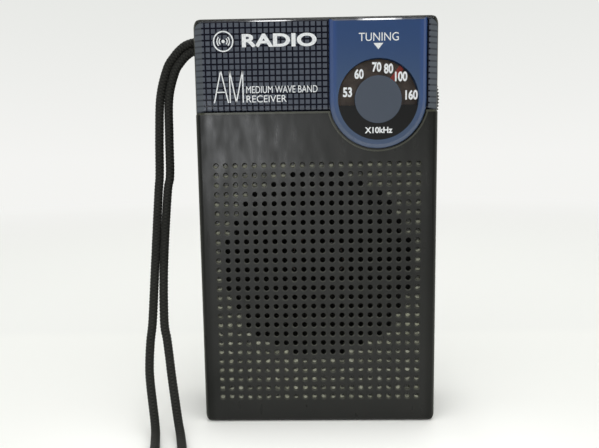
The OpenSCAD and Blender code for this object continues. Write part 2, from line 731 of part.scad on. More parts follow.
// Cone-shaped coil spring between a contact plate and a cell's negative end.
module cell_spring(z, way) {
    turns = 4.5;
    steps = 14;
    reach = 2 * tray_half_w - 2 * contact_t - nub_len - cell_len - 2 * spring_wire - 0.1;
    start = -way * (tray_half_w - contact_t - spring_wire - 0.05);
    path = [for (i = [0 : turns * steps])
        let (s = i / (turns * steps), a = i * 360 / steps, r = 4.6 - 1.9 * s)
        [start + way * reach * s, cell_y + r * cos(a), z + r * sin(a)]];
    swept(path, spring_wire, 6, [1, 0, 0]);
}
module battery_springs() color("silver") {
    cell_spring(cell_low_z, 1);
    cell_spring(cell_high_z, -1);
}

// Plate and solder tab at one end of a cell.
module contact(way, z, tab) {
    x = way * tray_half_w;
    inner = x - way * contact_t;
    block(min(x, inner), max(x, inner), cell_y - 5, cell_y + 5, z - 5.5, z + 5.5);
    if (tab) block(min(inner, inner + way * 2.2), max(inner, inner + way * 2.2), cell_y - 1, cell_y + 1,
                   z - 0.2, z + 0.2);
}
module battery_contacts() color("silver") {
    contact(1, cell_low_z, true);
    contact(1, cell_high_z, true);
}
module battery_link() color("silver") {
    contact(-1, cell_low_z, true);
    contact(-1, cell_high_z, false);
    block(-tray_half_w, -tray_half_w + contact_t, cell_y - 2, cell_y + 2, cell_low_z + 5, cell_high_z - 5);
}

// ---------------------------------------------------------------- wires

module wire(points, r) {
    swept(curve(points, 4), r, 6, unit([0.3, 0.9, 0.2]));
}

// Each lead ends square on the board, or on the lug it is soldered to.
module battery_leads() color("red") {
    end_y = board_back_y + 0.12;
    wire([[30.5, 5.4, cell_high_z + 0.8], [30.6, 4, 34], [30.2, 1.5, 46], [27.4, -0.8, 56],
          [26.3, end_y + 1.8, 59.2], [26.3, end_y, 59.2]], 0.45);
    wire([[30.5, 5.4, cell_low_z + 0.8], [30.7, 6.6, 20], [30.7, 6.2, 34], [30.6, 3.4, 46], [28, 1.6, 56],
          [26.3, end_y + 1.8, 61.5], [26.3, end_y, 61.5]], 0.45);
}
module speaker_leads() color("white") {
    y = lug_board_y + 1.7;
    end_y = board_back_y + 0.12;
    wire([[-24.4, y, speaker_z + 1.9], [-25.2, y + 0.2, speaker_z + 8], [-25.6, -2, speaker_z + 14],
          [-21.5, end_y + 1.8, speaker_z + 19], [-21.5, end_y, speaker_z + 19]], 0.45);
    wire([[-24.4, y, speaker_z - 1.9], [-28, y + 0.6, speaker_z + 4], [-28.2, -1, speaker_z + 11],
          [-22.5, end_y + 1.8, speaker_z + 22], [-22.5, end_y, speaker_z + 22]], 0.45);
}
module antenna_leads() color("khaki") {
    end_y = board_back_y + 0.12;
    for (x = [-21, -9.4])
        wire([[x, rod_y_pos - 5.2, rod_z_pos], [x + 0.4, 0.2, rod_z_pos - 2.3],
              [x + 1, end_y + 1.8, rod_z_pos - 5.7], [x + 1, end_y, rod_z_pos - 5.7]], 0.25);
}

// ---------------------------------------------------------------- label and strap

module rating_label() color("silver") block(-21.8, 21.8, back_y - 0.3, back_y - 0.05, 76.2, 93.8);

module strap_pin() color("silver") bar_y(pin_x, pin_z, pin_y - 3, pin_y + 3.2, pin_r);

// Centre line between the two strands, each with the distance between them.
strap_middle = [
    [strap_pivot_x, pin_y, pin_z, 2.7], [-37.35, pin_y, 108, 2.9], [-39.5, pin_y, 105.8, 2.7],
    [-41.55, pin_y, 102.5, 2.6], [-43.6, pin_y, 95, 2.7], [-44.1, -7.3, 84, 2.95],
    [-44.25, -8.05, 74, 3], [-44.9, -8.6, 68, 2.65], [-45.9, -11.8, 47, 2.65],
    [-46.1, -14.8, 31.5, 3.4], [-45.9, -16, 26, 4.7], [-45.6, -17.2, 20, 5.8],
    [-45, -18.7, 15, 6.2], [-43, -22.4, 4.6, 6.4], [-41.5, -27, floor_z, 6.8],
    [-39.3, -36, floor_z, 7.2], [-37.5, -46, floor_z, 7.4]];

function strap_heading(i) = let (last = len(strap_middle) - 1)
    unit([for (k = [0 : 2]) strap_middle[min(i + 1, last)][k] - strap_middle[max(i - 1, 0)][k]]);
// Sideways direction: upwards at the pin, turning level at the floor.
function strap_side(i) = let (t = strap_heading(i), out = [-1, 0, strap_middle[i][2] / pin_z])
    unit(out - (out * t) * t);
function strand(side) = [for (i = [0 : len(strap_middle) - 1])
    [for (k = [0 : 2]) strap_middle[i][k]] + side * strap_middle[i][3] / 2 * strap_side(i)];
function strap_end() = let (last = len(strap_middle) - 1, r = strap_middle[last][3] / 2,
                            middle = [for (k = [0 : 2]) strap_middle[last][k]])
    [for (a = [45, 90, 135]) middle + r * (cos(a) * strap_side(last) + sin(a) * strap_heading(last))];
function reversed(list) = [for (i = [len(list) - 1 : -1 : 0]) list[i]];

module wrist_strap() color("black")
    swept(curve(concat(strand(1), strap_end(), reversed(strand(-1))), 3), cord_r, 10, unit([1, 1.1, -0.9]));

// The cord's turn round the pin, inside the case.
module strap_knot() {
    turn_r = pin_r + 0.1 + cord_r;
    mouth = [-half_w + 0.1, pin_y, pin_z];
    color("black") swept(concat(
        [mouth + [0, 0, 1.3], mouth + [1.6, 0, 1.75]],
        [for (a = [90 : -15 : -90]) [pin_x, pin_y, pin_z] + turn_r * [cos(a), 0, sin(a)]],
        [mouth + [1.6, 0, -1.75], mouth + [0, 0, -1.3]]), cord_r, 10, [0, 1, 0]);
}

// ---------------------------------------------------------------- drawing

front_cabinet();
back_cabinet();
front_panel();
tuning_window();
battery_cover();
tuning_wheel();
dial_disc();
tuning_shaft();
tuning_wheel_screw();
rotor_vanes();
stator_vanes();
tuning_capacitor();
trimmer_screws();
volume_wheel();
volume_wheel_screw();
volume_control();
circuit_board();
ferrite_rod();
antenna_coil();
rod_holders();
if_transformers();
if_cores();
transistors();
audio_transformers();
electrolytic_capacitors();
ceramic_capacitors();
resistors();
earphone_jack();
jack_contacts();
speaker_frame();
speaker_gasket();
speaker_surround();
speaker_cone();
dust_cap();
voice_coil();
speaker_magnet();
speaker_top_plate();
speaker_yoke();
speaker_terminals();
speaker_screws();
board_screws();
case_screws();
battery_cells();
battery_springs();
battery_contacts();
battery_link();
battery_leads();
speaker_leads();
antenna_leads();
rating_label();
strap_pin();
strap_knot();
wrist_strap();
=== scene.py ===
"""Pocket transistor radio: the looks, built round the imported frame.

The row frame is used throughout: the case stands on z = 0, its front looks along -Y and +X is to the
right seen from the front. Blender's lengths are metres. Here lengths are written in millimetres and
multiplied by MM where they reach Blender. Colours are linear.
"""

import json
import math

import bpy
import numpy as np
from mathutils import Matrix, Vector


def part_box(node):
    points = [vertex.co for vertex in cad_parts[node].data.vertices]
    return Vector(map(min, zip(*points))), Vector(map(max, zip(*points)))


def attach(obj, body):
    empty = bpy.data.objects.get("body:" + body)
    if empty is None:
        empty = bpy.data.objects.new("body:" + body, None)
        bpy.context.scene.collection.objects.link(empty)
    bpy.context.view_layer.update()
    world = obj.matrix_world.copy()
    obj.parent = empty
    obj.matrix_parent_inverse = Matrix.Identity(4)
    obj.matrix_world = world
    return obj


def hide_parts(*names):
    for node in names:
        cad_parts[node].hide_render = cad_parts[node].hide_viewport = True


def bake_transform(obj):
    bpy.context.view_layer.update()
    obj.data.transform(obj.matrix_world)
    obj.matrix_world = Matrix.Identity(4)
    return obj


MM = 0.001

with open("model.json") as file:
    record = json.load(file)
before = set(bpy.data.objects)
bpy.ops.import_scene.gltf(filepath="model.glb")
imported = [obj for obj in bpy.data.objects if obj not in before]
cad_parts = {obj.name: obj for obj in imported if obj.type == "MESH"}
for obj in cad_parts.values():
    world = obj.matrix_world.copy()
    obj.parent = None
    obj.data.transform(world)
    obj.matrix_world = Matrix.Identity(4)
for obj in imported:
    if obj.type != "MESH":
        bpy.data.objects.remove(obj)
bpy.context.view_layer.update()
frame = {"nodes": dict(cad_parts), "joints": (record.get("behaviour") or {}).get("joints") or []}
nodes = frame["nodes"]
joints = {joint["name"]: joint for joint in frame["joints"]}
scene = bpy.context.scene


def box_mm(node):
    """The lowest and highest corner of a CAD node, in millimetres."""
    low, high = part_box(node)
    return low / MM, high / MM


CASE_LOW, CASE_HIGH = box_mm("front_cabinet")
PANEL_LOW, PANEL_HIGH = box_mm("front_panel")
WINDOW_LOW, WINDOW_HIGH = box_mm("tuning_window")
LABEL_LOW, LABEL_HIGH = box_mm("rating_label")
DIAL = Vector(joints["tuning_turn"]["pos_m"]) / MM
STRAP_PIVOT = Vector(joints["strap_swing"]["pos_m"]) / MM
WINDOW_R = (WINDOW_HIGH.x - WINDOW_LOW.x) / 2
SPEAKER_Z = (box_mm("speaker_frame")[0].z + box_mm("speaker_frame")[1].z) / 2
FACE_Y = PANEL_LOW.y + 0.4          # the speaker face sits a little behind the panel's face
RIM_Z = PANEL_LOW.z - 0.3           # the case's lip under the panel
RIM_R = WINDOW_R + 0.7              # and round the window's foot

# Sizes of the printing, in millimetres
GRID_PITCH = 1.6
GRID_LINE = 0.46
GRID_FIRST_X = PANEL_LOW.x + 2.95   # first upright line, and first level line
GRID_FIRST_Z = PANEL_HIGH.z - 1.9
RING_R = 11.0                       # outer radius of the dial's black ring
HUB_R = 6.4                         # the grey disc in the middle of the dial
RING_SPLIT = -1.6                   # below this, from the dial's centre, the ring is printed solid
NUMBER_R = 8.6                      # the dial's numbers, from its centre
NUMBER_H = 2.64
POINTER_TURN = math.radians(37.5)   # the red pointer at rest, clockwise from the top
PRINT_T = 0.03                      # thickness of the printed letters
BOLD = 0.035                        # how much heavy letters are thickened, in parts of the em

# Sizes of the grille, in millimetres
HOLE_PITCH = 2.7                    # from one row of holes to the next
HOLE_R = 0.76
TOP_ROW_Z = SPEAKER_Z + 10.5 * HOLE_PITCH
OPEN_R = 27.05                      # holes nearer than this to the speaker's axis go right through
GRILLE_HALF_W = 29.6                # the block of holes: half its width and height, and its middle
GRILLE_HALF_H = 35.0
GRILLE_Z = SPEAKER_Z - 5.4


# ------------------------------------------------------------------ materials


class Nodes:
    """A shader's node tree, emptied and then built one node at a time."""

    def __init__(self, tree):
        self.tree = tree
        tree.nodes.clear()

    def add(self, kind, **settings):
        node = self.tree.nodes.new("ShaderNode" + kind)
        for key, value in settings.items():
            setattr(node, key, value)
        return node

    def join(self, value, socket):
        """Links a socket's value to another socket, or stores a plain number or colour there."""
        if isinstance(value, bpy.types.NodeSocket):
            self.tree.links.new(value, socket)
        elif isinstance(value, tuple) and len(value) == 3 and len(socket.default_value) == 4:
            socket.default_value = (*value, 1)
        else:
            socket.default_value = value

    def math(self, operation, a, b=0.0):
        node = self.add("Math", operation=operation)
        self.join(a, node.inputs[0])
        self.join(b, node.inputs[1])
        return node.outputs[0]

    def axes(self, vector):
        node = self.add("SeparateXYZ")
        self.join(vector, node.inputs[0])
        return node.outputs

    def ramp(self, value, low, high, start=0.0, end=1.0, kind="SMOOTHSTEP"):
        """start where value is low, end where it is high, smooth between and flat beyond."""
        node = self.add("MapRange", interpolation_type=kind)
        self.join(value, node.inputs["Value"])
        for name, number in zip(("From Min", "From Max", "To Min", "To Max"), (low, high, start, end)):
            self.join(number, node.inputs[name])
        return node.outputs[0]

    def below(self, value, edge, soft=0.08):
        """1 where value is under the edge."""
        return self.ramp(value, edge - soft / 2, edge + soft / 2, 1.0, 0.0)

    def both(self, *masks):
        product = masks[0]
        for mask in masks[1:]:
            product = self.math("MULTIPLY", product, mask)
        return product

    def either(self, a, b):
        return self.math("MAXIMUM", a, b)

    def mix(self, factor, a, b):
        node = self.add("Mix", data_type="RGBA")
        self.join(factor, node.inputs[0])
        self.join(a, node.inputs[6])
        self.join(b, node.inputs[7])
        return node.outputs[2]

    def mix_shaders(self, factor, a, b):
        node = self.add("MixShader")
        for value, socket in zip((factor, a, b), node.inputs):
            self.join(value, socket)
        return node.outputs[0]


class Finish(Nodes):
    """A material. Its place is the row frame at rest, in millimetres."""

    def __init__(self, name):
        self.material = bpy.data.materials.new(name)
        self.material.use_nodes = True
        super().__init__(self.material.node_tree)
        self.output = self.add("OutputMaterial")
        self.shader = self.add("BsdfPrincipled")
        self.join(self.shader.outputs[0], self.output.inputs["Surface"])
        scale = self.add("VectorMath", operation="SCALE")
        self.join(self.add("TexCoord").outputs["Object"], scale.inputs[0])
        scale.inputs["Scale"].default_value = 1 / MM
        self.place = scale.outputs[0]
        self.x, self.y, self.z = self.axes(self.place)

    def noise(self, size, detail=2.0, stretch=(1, 1, 1), rough=0.5):
        """Noise from 0 to 1 with features about size millimetres across, times stretch on each axis."""
        node = self.add("TexNoise")
        scaled = self.add("VectorMath", operation="MULTIPLY")
        self.join(self.place, scaled.inputs[0])
        scaled.inputs[1].default_value = [1 / (size * s) for s in stretch]
        self.join(scaled.outputs[0], node.inputs["Vector"])
        node.inputs["Scale"].default_value = 1.0
        node.inputs["Detail"].default_value = detail
        node.inputs["Roughness"].default_value = rough
        return node.outputs[0]

    def repeated(self, along, first, pitch):
        """The signed distance to the nearest of a row of places: first, and whole pitches from it."""
        shifted = self.math("ADD", along, pitch * 1000.5 - first)
        return self.math("SUBTRACT", self.math("MODULO", shifted, pitch), pitch / 2)

    def stripes(self, along, first, pitch, width, soft=0.08):
        """1 on the lines of a ruling, whose middles are at first plus whole pitches."""
        return self.below(self.math("ABSOLUTE", self.repeated(along, first, pitch)), width / 2, soft)

    def away(self, value, middle=0.0):
        """How far a value is from a middle, either way."""
        return self.math("ABSOLUTE", self.math("SUBTRACT", value, middle))

    def radius(self, a, b, centre_a, centre_b):
        da = self.math("SUBTRACT", a, centre_a)
        db = self.math("SUBTRACT", b, centre_b)
        squares = self.math("MULTIPLY", da, da), self.math("MULTIPLY", db, db)
        return self.math("SQRT", self.math("ADD", *squares))

    def normal_axis(self, axis):
        """One component of the surface normal in the piece's own space."""
        geometry = self.add("NewGeometry")
        turned = self.add("VectorTransform", vector_type="NORMAL")
        turned.convert_from, turned.convert_to = "WORLD", "OBJECT"
        self.join(geometry.outputs["Normal"], turned.inputs[0])
        return self.axes(turned.outputs[0])[axis]

    def worn_edges(self, radius=0.5):
        """1 on sharp edges, from how far a rounded normal turns away from the true one."""
        bevel = self.add("Bevel", samples=4)
        bevel.inputs["Radius"].default_value = radius * MM
        geometry = self.add("NewGeometry")
        dot = self.add("VectorMath", operation="DOT_PRODUCT")
        self.join(bevel.outputs[0], dot.inputs[0])
        self.join(geometry.outputs["Normal"], dot.inputs[1])
        return self.ramp(dot.outputs["Value"], 0.78, 0.99, 1.0, 0.0)

    def bump(self, height, depth):
        """Relief: a height of 1 stands depth millimetres proud."""
        node = self.add("Bump")
        self.join(height, node.inputs["Height"])
        node.inputs["Distance"].default_value = depth * MM
        return node.outputs[0]

    def surface(self, colour, roughness, normal=None, metallic=0.0, coat=0.0, coat_roughness=0.05,
                specular=0.5, sheen=0.0):
        inputs = self.shader.inputs
        self.join(colour, inputs["Base Color"])
        self.join(roughness, inputs["Roughness"])
        self.join(metallic, inputs["Metallic"])
        self.join(coat, inputs["Coat Weight"])
        self.join(coat_roughness, inputs["Coat Roughness"])
        self.join(specular, inputs["Specular IOR Level"])
        self.join(sheen, inputs["Sheen Weight"])
        if normal is not None:
            self.join(normal, inputs["Normal"])
            self.join(normal, inputs["Coat Normal"])
        return self.material


def lip_highlight_mask(f):
    """1 on the narrow lip of the front half, under the panel and round the window's foot, where a highlight
    is painted.
    """
    level = f.below(f.away(f.z, RIM_Z), 0.3, 0.1)
    ring = f.below(f.away(f.radius(f.x, f.z, DIAL.x, DIAL.z), RIM_R), 0.2, 0.1)
    foot = f.both(ring, f.below(f.z, PANEL_LOW.z))
    return f.both(f.either(level, foot), f.below(f.y, FACE_Y + 0.3))


def grille_marks(f):
    """Dust in the lower half of the blind dimples, and a painted highlight on the lower lip of every hole.
    """
    across = f.repeated(f.x, HOLE_PITCH / 2, HOLE_PITCH)
    up = f.repeated(f.z, TOP_ROW_Z, HOLE_PITCH)
    block = f.both(f.below(f.away(f.x), GRILLE_HALF_W), f.below(f.away(f.z, GRILLE_Z), GRILLE_HALF_H))
    # painted highlight: the lower lip of each hole, in patches
    lip = f.both(block, f.below(f.radius(across, up, 0, -0.12), HOLE_R + 0.2, 0.2), f.below(up, -0.4, 0.3),
                 f.below(f.y, FACE_Y + 0.1), f.ramp(f.noise(2.2, 2), 0.35, 0.6, 0.25, 1.0))
    hole_x, hole_z = f.math("SUBTRACT", f.x, across), f.math("SUBTRACT", f.z, up)
    blind = f.both(block, f.ramp(f.radius(hole_x, hole_z, 0, SPEAKER_Z), OPEN_R, OPEN_R + 0.1))
    inside = f.both(f.ramp(f.y, FACE_Y + 0.12, FACE_Y + 0.34), f.below(f.y, FACE_Y + 0.9))
    heap = f.math("ADD", up, f.ramp(f.noise(1.5, 2), 0.3, 0.7, -0.25, 0.3))
    patchy = f.ramp(f.noise(1.9, 2), 0.25, 0.62, 0.3, 1.0)
    return f.both(blind, inside, f.below(heap, -0.05, 0.4), patchy), lip


def case_plastic():
    """Satin olive-black ABS with a fine grain, wiped smears, worn edges and dust in the blind dimples, plus
    painted reflections on the rounded sides and painted highlights on the lip under the panel, round the
    window's foot and on the lower lip of each hole.
    """
    f = Finish("case_plastic")
    olive = (0.06, 0.062, 0.045)
    tone = f.mix(f.noise(9, 3), (0.0068, 0.0074, 0.0066), (0.0105, 0.0108, 0.0088))
    worn = f.both(f.worn_edges(0.4), f.ramp(f.noise(3, 3), 0.4, 0.65))
    # painted reflection: the rounded sides near the front are tinted pale olive, as though they mirrored
    # the bright room
    side = f.both(f.ramp(f.away(f.normal_axis(0)), 0.45, 0.85), f.below(f.y, FACE_Y + 2.5, 1.0))
    # worn edges are real wear; the lip under the panel and round the window's foot gets a painted highlight
    pale = f.either(f.math("MULTIPLY", worn, 0.35), f.math("MULTIPLY", lip_highlight_mask(f), 0.9))
    tone = f.mix(f.either(pale, f.math("MULTIPLY", side, 0.5)), tone, olive)
    dust, hole_lip_highlight = grille_marks(f)
    # painted highlight on the lower lip of each hole
    tone = f.mix(f.math("MULTIPLY", hole_lip_highlight, 0.45), tone, (0.075, 0.078, 0.062))
    tone = f.mix(dust, tone, f.mix(f.noise(5, 1), (0.29, 0.295, 0.21), (0.38, 0.385, 0.33)))
    smear = f.math("MULTIPLY", f.noise(5, 1, stretch=(0.5, 1, 1.4)), 0.3)
    rough = f.math("ADD", f.math("ADD", smear, 0.18), f.math("MULTIPLY", dust, 0.5))
    # the flat face is duller near its sides, and the rim over the panel duller still
    flat = f.below(f.normal_axis(1), -0.9, 0.1)
    beside = f.both(flat, f.ramp(f.away(f.x), CASE_HIGH.x - 4, CASE_HIGH.x - 1.5))
    rim = f.both(f.ramp(f.z, PANEL_HIGH.z - 0.1, PANEL_HIGH.z + 0.1), f.below(f.y, PANEL_LOW.y + 2.2))
    shine = f.ramp(rim, 0, 1, f.ramp(beside, 0, 1, 0.26, 0.17), 0.06)
    return f.surface(tone, rough, f.bump(f.noise(0.32, 2), 0.012), specular=shine)


def panel_print():
    """Clear gloss over a ruling of near-black lines on slate. The sloping ends carry level lines only."""
    f = Finish("panel_print")
    level = f.stripes(f.z, GRID_FIRST_Z, GRID_PITCH, GRID_LINE)
    upright = f.stripes(f.x, GRID_FIRST_X, GRID_PITCH, GRID_LINE)
    middle = f.below(f.away(f.x), PANEL_HIGH.x - 2.1)
    lines = f.either(f.math("MULTIPLY", level, f.math("ADD", f.math("MULTIPLY", middle, 0.45), 0.55)),
                     f.math("MULTIPLY", upright, middle))
    cell = f.mix(f.noise(1.3, 2), (0.072, 0.082, 0.106), (0.105, 0.117, 0.143))
    cell = f.mix(middle, (0.080, 0.092, 0.110), cell)
    tone = f.mix(lines, cell, (0.0045, 0.0055, 0.013))
    haze = f.ramp(f.noise(8, 3, stretch=(1.5, 1, 0.5)), 0.35, 0.7, 0.04, 0.09)
    return f.surface(tone, 0.45, None, coat=0.8, coat_roughness=haze, specular=0.0)


def window_plastic():
    """Blue acrylic, printed behind: a slate hub, a black ring, and a clear arc over the turning dial."""
    f = Finish("window_plastic")
    r = f.radius(f.x, f.z, DIAL.x, DIAL.z)
    low = f.below(f.z, DIAL.z + RING_SPLIT, 0.1)
    ring = f.both(f.below(r, RING_R), f.math("SUBTRACT", 1.0, f.below(r, HUB_R)))
    hub = f.below(r, HUB_R, 0.25)
    clear = f.both(ring, f.math("SUBTRACT", 1.0, low))
    reach = f.mix(f.below(f.z, DIAL.z, 0.01), f.away(f.x, DIAL.x), r)
    # painted highlight: a lighter blue band along the window's bevelled border
    edge = f.ramp(reach, WINDOW_R - 2.4, WINDOW_R - 1.5)
    blue = f.mix(f.ramp(f.z, DIAL.z - 6, WINDOW_HIGH.z), (0.057, 0.095, 0.172), (0.027, 0.064, 0.175))
    blue = f.mix(f.math("MULTIPLY", edge, 0.4), blue, (0.035, 0.08, 0.28))
    foot = f.both(f.ramp(r, RING_R, RING_R + 0.2), f.ramp(f.z, DIAL.z + 2, DIAL.z - 9, 0.0, 0.75))
    blue = f.mix(foot, blue, (0.062, 0.088, 0.14))
    # painted shade: upward-facing surfaces, the top bevel most of all, are darkened to deep navy
    bevel = f.ramp(f.normal_axis(2), 0.08, 0.2)
    blue = f.mix(bevel, blue, (0.006, 0.012, 0.04))
    tone = f.mix(hub, f.mix(ring, blue, (0.007, 0.007, 0.0075)), (0.070, 0.085, 0.115))
    f.surface(tone, 0.35, None, coat=1.0, coat_roughness=0.04, specular=0.1)
    glass = f.add("BsdfTransparent")
    f.join((0.92, 0.90, 0.90), glass.inputs[0])
    shine = f.add("BsdfGlossy")
    shine.inputs["Roughness"].default_value = 0.04
    facing = f.add("Fresnel")
    facing.inputs["IOR"].default_value = 1.35
    pane = f.mix_shaders(facing.outputs[0], glass.outputs[0], shine.outputs[0])
    f.join(f.mix_shaders(clear, f.shader.outputs[0], pane), f.output.inputs["Surface"])
    return f.material


def dial_print():
    """Brown-black printed disc with one red pointer line, drawn where it stands at rest."""
    f = Finish("dial_print")
    right = f.math("SUBTRACT", f.x, DIAL.x)
    up = f.math("SUBTRACT", f.z, DIAL.z)
    sine, cosine = math.sin(POINTER_TURN), math.cos(POINTER_TURN)
    along = f.math("ADD", f.math("MULTIPLY", right, sine), f.math("MULTIPLY", up, cosine))
    across = f.math("SUBTRACT", f.math("MULTIPLY", right, cosine), f.math("MULTIPLY", up, sine))
    red = f.both(f.below(f.math("ABSOLUTE", across), 0.75, 0.15), f.ramp(along, 6.0, 6.2))
    tone = f.mix(f.ramp(f.noise(4, 3), 0.35, 0.65), (0.11, 0.085, 0.062), (0.19, 0.15, 0.11))
    tone = f.mix(red, tone, (0.98, 0.10, 0.07))
    return f.surface(tone, f.ramp(f.noise(2, 2), 0.3, 0.7, 0.45, 0.6), f.bump(f.noise(0.5, 2), 0.01))


def moulded(name, dark, light, rough, size=4.0, grain=0.25, depth=0.01, coat=0.0):
    """Moulded or cast plastic: mottled between two close colours, with a fine grain."""
    f = Finish(name)
    tone = f.mix(f.ramp(f.noise(size, 4), 0.3, 0.7), dark, light)
    wear = f.math("MULTIPLY", f.worn_edges(0.25), 0.35)
    tone = f.mix(wear, tone, tuple(min(1.0, c * 1.8 + 0.02) for c in light))
    return f.surface(tone, f.ramp(f.noise(size / 2, 3), 0.3, 0.7, rough - 0.07, rough + 0.09),
                     f.bump(f.noise(grain, 2), depth), coat=coat)


def metal(name, dark, light, rough, stretch=(1, 1, 1), size=1.2, depth=0.006):
    """Metal with drawing or brushing marks along the stretched axis, and dull patches."""
    f = Finish(name)
    marks = f.noise(size, 3, stretch=stretch, rough=0.65)
    patch = f.noise(size * 5, 3)
    tone = f.mix(f.ramp(marks, 0.3, 0.7), dark, light)
    tone = f.mix(f.ramp(patch, 0.55, 0.8, 0.0, 0.5), tone, tuple(c * 0.55 for c in dark))
    return f.surface(tone, f.ramp(patch, 0.3, 0.75, rough - 0.06, rough + 0.16),
                     f.bump(marks, depth), metallic=1.0)


def paper(name, dark, light, size=0.5, depth=0.03):
    """Pressed fibre: short fibres in every direction, fully matt."""
    f = Finish(name)
    fibres = f.add("TexVoronoi", feature="DISTANCE_TO_EDGE")
    f.join(f.place, fibres.inputs["Vector"])
    fibres.inputs["Scale"].default_value = 1 / size
    tone = f.mix(f.either(f.noise(size * 2, 4), f.ramp(fibres.outputs["Distance"], 0.0, 0.3)), dark, light)
    return f.surface(tone, 0.88, f.bump(f.noise(size, 4, rough=0.7), depth), specular=0.2)


def wound(name, dark, light, along, pitch, rough=0.4):
    """Wire laid turn beside turn. along picks the axis that the turns advance on."""
    f = Finish(name)
    position = (f.x, f.y, f.z)[along]
    # painted shade: the gaps between turns are darkened to a quarter of the wire's colour
    gap = f.stripes(position, 0, pitch, pitch * 0.4, pitch * 0.5)
    tone = f.mix(gap, f.mix(f.noise(1.5, 3), dark, light), tuple(c * 0.25 for c in dark))
    height = f.math("SUBTRACT", 1.0, gap)
    return f.surface(tone, rough, f.bump(height, pitch * 0.3), coat=0.3)


def board_laminate():
    """Phenolic paper board: mottled brown, with copper tracks and tinned pads on the back, all under a
    clear varnish.
    """
    f = Finish("board_laminate")
    back_y = box_mm("circuit_board")[1].y
    tone = f.mix(f.ramp(f.noise(2.5, 5, rough=0.65), 0.3, 0.7), (0.17, 0.075, 0.022), (0.34, 0.17, 0.055))
    wander = f.math("MULTIPLY", f.noise(7, 1), 5.0)
    tracks = f.either(f.stripes(f.math("ADD", f.x, wander), 0, 3.4, 1.2),
                      f.stripes(f.math("ADD", f.z, wander), 0, 8.5, 1.2))
    pads = f.both(f.stripes(f.x, 1.7, 3.4, 1.5), f.stripes(f.z, 1.3, 4.25, 1.5))
    back = f.ramp(f.y, back_y - 0.1, back_y - 0.05)
    copper = f.mix(f.noise(3, 2), (0.30, 0.16, 0.05), (0.42, 0.22, 0.075))
    tone = f.mix(f.both(tracks, back), tone, copper)
    tone = f.mix(f.both(pads, back), tone, (0.55, 0.55, 0.52))
    relief = f.bump(f.both(f.either(tracks, pads), back), 0.05)
    return f.surface(tone, f.ramp(f.noise(1.2, 3), 0.3, 0.7, 0.32, 0.5), relief, coat=0.35)


def cell_jacket():
    """Printed metal jacket of a dry cell: two plain bands, a bare steel end and a seam."""
    f = Finish("cell_jacket")
    low, high = box_mm("battery_cells")
    length = high.x - low.x
    share = f.math("DIVIDE", f.math("SUBTRACT", f.x, low.x), length)
    end = f.either(f.below(share, 0.03, 0.004), f.ramp(share, 0.968, 0.972))
    band = f.either(f.below(share, 0.3, 0.003), f.ramp(share, 0.928, 0.931))
    tone = f.mix(band, f.mix(f.noise(6, 3), (0.46, 0.20, 0.035), (0.56, 0.27, 0.06)), (0.012, 0.012, 0.014))
    tone = f.mix(f.stripes(share, 0.3, 1.0, 0.008, 0.002), tone, (0.75, 0.74, 0.7))
    tone = f.mix(end, tone, (0.6, 0.6, 0.58))
    scuffs = f.noise(1.0, 4, stretch=(6, 1, 1), rough=0.7)
    return f.surface(tone, f.ramp(scuffs, 0.35, 0.75, 0.22, 0.42), f.bump(scuffs, 0.006),
                     metallic=f.math("ADD", f.math("MULTIPLY", end, 0.5), 0.5), coat=0.3)


def sleeve():
    """Shrink sleeve with the pale stripe that marks the negative side."""
    f = Finish("blue_sleeve")
    stripe = f.stripes(f.x, 0.6, 2.6, 0.7)
    tone = f.mix(f.noise(2, 3), (0.012, 0.03, 0.16), (0.02, 0.05, 0.24))
    tone = f.mix(stripe, tone, (0.35, 0.40, 0.5))
    return f.surface(tone, 0.3, f.bump(f.noise(0.6, 2), 0.015), coat=0.5)


def resistor_bands():
    """Tan lacquer with coloured rings round the body."""
    f = Finish("resistor_tan")
    tone = f.mix(f.noise(1.5, 3), (0.42, 0.29, 0.15), (0.56, 0.41, 0.24))
    first = box_mm("resistors")[0].z + 1.4
    for step, colour in ((0.0, (0.22, 0.06, 0.02)), (1.0, (0.02, 0.02, 0.02)), (2.0, (0.5, 0.05, 0.02))):
        tone = f.mix(f.stripes(f.z, first + step, 6.4, 0.5), tone, colour)
    return f.surface(tone, 0.35, f.bump(f.noise(0.4, 2), 0.01), coat=0.4)


def label_foil():
    """Blank metallised label: a thin black frame and ruled lines on brushed foil with dull patches."""
    f = Finish("label_foil")
    middle = (LABEL_LOW + LABEL_HIGH) / 2
    half = (LABEL_HIGH - LABEL_LOW) / 2
    inset = f.math("MINIMUM", f.math("SUBTRACT", half.x, f.away(f.x, middle.x)),
                   f.math("SUBTRACT", half.z, f.away(f.z, middle.z)))
    border = f.both(f.ramp(inset, 0.95, 1.0), f.below(inset, 1.35, 0.05))
    rules = f.both(f.ramp(inset, 1.1, 1.2), f.stripes(f.z, middle.z + 2.4, 4.8, 0.25, 0.05))
    brushed = f.noise(0.5, 4, stretch=(14, 1, 1), rough=0.7)
    tone = f.mix(f.ramp(brushed, 0.3, 0.7), (0.38, 0.38, 0.36), (0.58, 0.58, 0.55))
    tone = f.mix(f.either(border, rules), tone, (0.012, 0.012, 0.012))
    dull = f.ramp(f.noise(5, 3), 0.35, 0.7, 0.28, 0.48)
    return f.surface(tone, dull, f.bump(brushed, 0.006), metallic=0.85)


